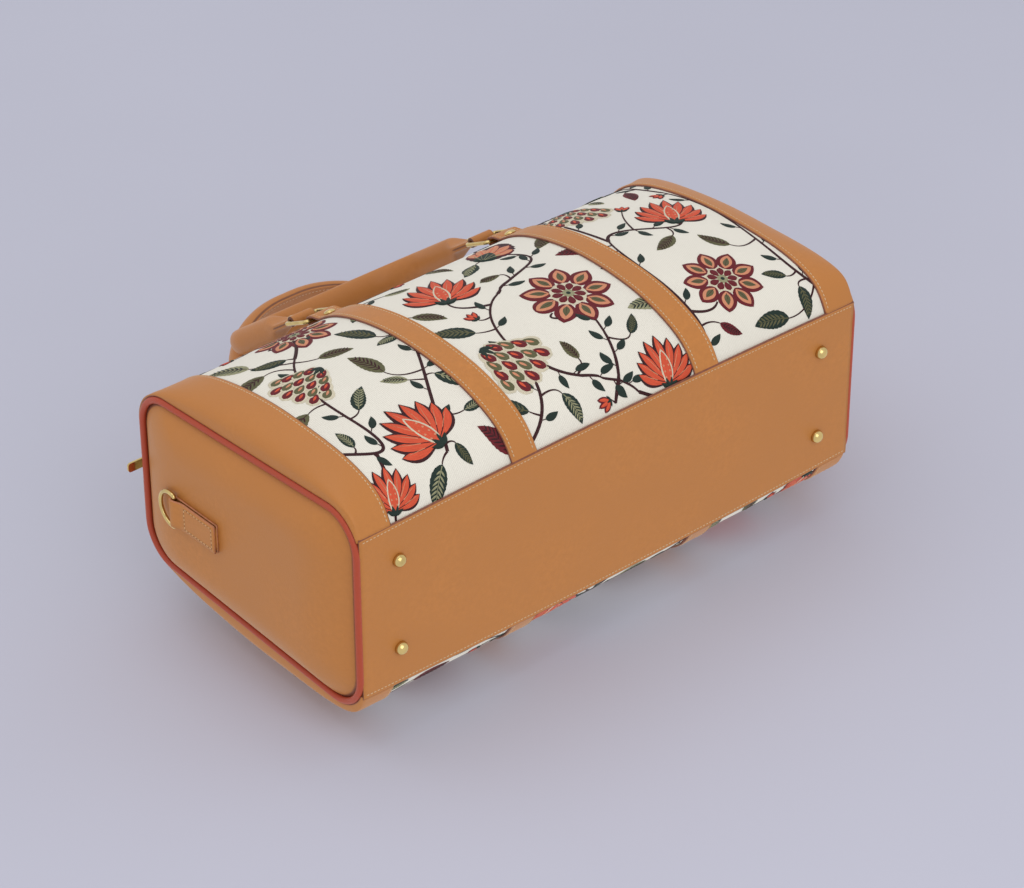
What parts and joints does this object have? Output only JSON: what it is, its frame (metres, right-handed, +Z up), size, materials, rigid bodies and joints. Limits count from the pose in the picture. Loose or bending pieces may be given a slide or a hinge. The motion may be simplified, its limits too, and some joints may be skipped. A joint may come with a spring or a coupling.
{
  "type": "carpet bag",
  "caption": "Soft barrel-shaped weekend bag in floral canvas and tan leather, with a top zip, padded swinging handles on straps, end rings for a shoulder strap and domed metal feet.",
  "frame": {"origin": "under the middle of the bag, level with the foot tips", "axes": "+X along the bag towards its right end, -Y towards its front, +Z up"},
  "size_m": [0.5432, 0.2434, 0.4234],
  "materials": {
    "canvas": "ribbed cream canvas with a floral pattern",
    "tan_leather": "smooth tan leather",
    "piping_leather": "rust-red leather",
    "brass": "polished",
    "zip_tape": "woven tape",
    "board": "pressed board"
  },
  "bodies": {
    "bag": {"back_left_band": "tan_leather", "back_left_strap": "tan_leather", "back_right_band": "tan_leather", "back_right_strap": "tan_leather", "base_board": "board", "bottom_panel": "tan_leather", "canvas_body": "canvas", "feet": "brass", "front_left_band": "tan_leather", "front_left_strap": "tan_leather", "front_right_band": "tan_leather", "front_right_strap": "tan_leather", "left_d_ring_tab": "tan_leather", "left_end_panel": "tan_leather", "left_piping": "piping_leather", "right_d_ring_tab": "tan_leather", "right_end_panel": "tan_leather", "right_piping": "piping_leather", "strap_rivets": "brass", "zip_stops": "brass", "zip_tape": "zip_tape", "zip_teeth": "brass"},
    "front_rings": {"front_left_ring": "brass", "front_right_ring": "brass"},
    "back_rings": {"back_left_ring": "brass", "back_right_ring": "brass"},
    "front_handle": {"front_handle": "tan_leather", "front_handle_rivets": "brass"},
    "back_handle": {"back_handle": "tan_leather", "back_handle_rivets": "brass"},
    "left_d_ring": {"left_d_ring": "brass"},
    "right_d_ring": {"right_d_ring": "brass"},
    "zip_slider": {"zip_slider": "brass"},
    "zip_pull": {"zip_pull": "brass"}
  },
  "joints": [
    {"name": "front_ring_swing", "type": "hinge", "parent": "bag", "child": "front_rings", "pos_m": [0, -0.08447, 0.24771], "axis": [1, 0, 0], "range_deg": [0, 130]},
    {"name": "back_ring_swing", "type": "hinge", "parent": "bag", "child": "back_rings", "pos_m": [0, 0.08447, 0.24771], "axis": [-1, 0, 0], "range_deg": [0, 130]},
    {"name": "front_handle_swing", "type": "hinge", "parent": "front_rings", "child": "front_handle", "pos_m": [0, -0.07085, 0.27331], "axis": [1, 0, 0], "range_deg": [0, 62]},
    {"name": "back_handle_swing", "type": "hinge", "parent": "back_rings", "child": "back_handle", "pos_m": [0, 0.07085, 0.27331], "axis": [-1, 0, 0], "range_deg": [0, 45]},
    {"name": "left_d_ring_swing", "type": "hinge", "parent": "bag", "child": "left_d_ring", "pos_m": [-0.2678, 0, 0.208], "axis": [0, -1, 0], "range_deg": [0, 150]},
    {"name": "right_d_ring_swing", "type": "hinge", "parent": "bag", "child": "right_d_ring", "pos_m": [0.2678, 0, 0.208], "axis": [0, 1, 0], "range_deg": [0, 150]},
    {"name": "zip_slide", "type": "slide", "parent": "bag", "child": "zip_slider", "axis": [1, 0, 0], "range_m": [0, 0.462]},
    {"name": "zip_pull_flip", "type": "hinge", "parent": "zip_slider", "child": "zip_pull", "pos_m": [-0.231, 0, 0.2787], "axis": [0, 1, 0], "range_deg": [0, 160]}
  ]
}
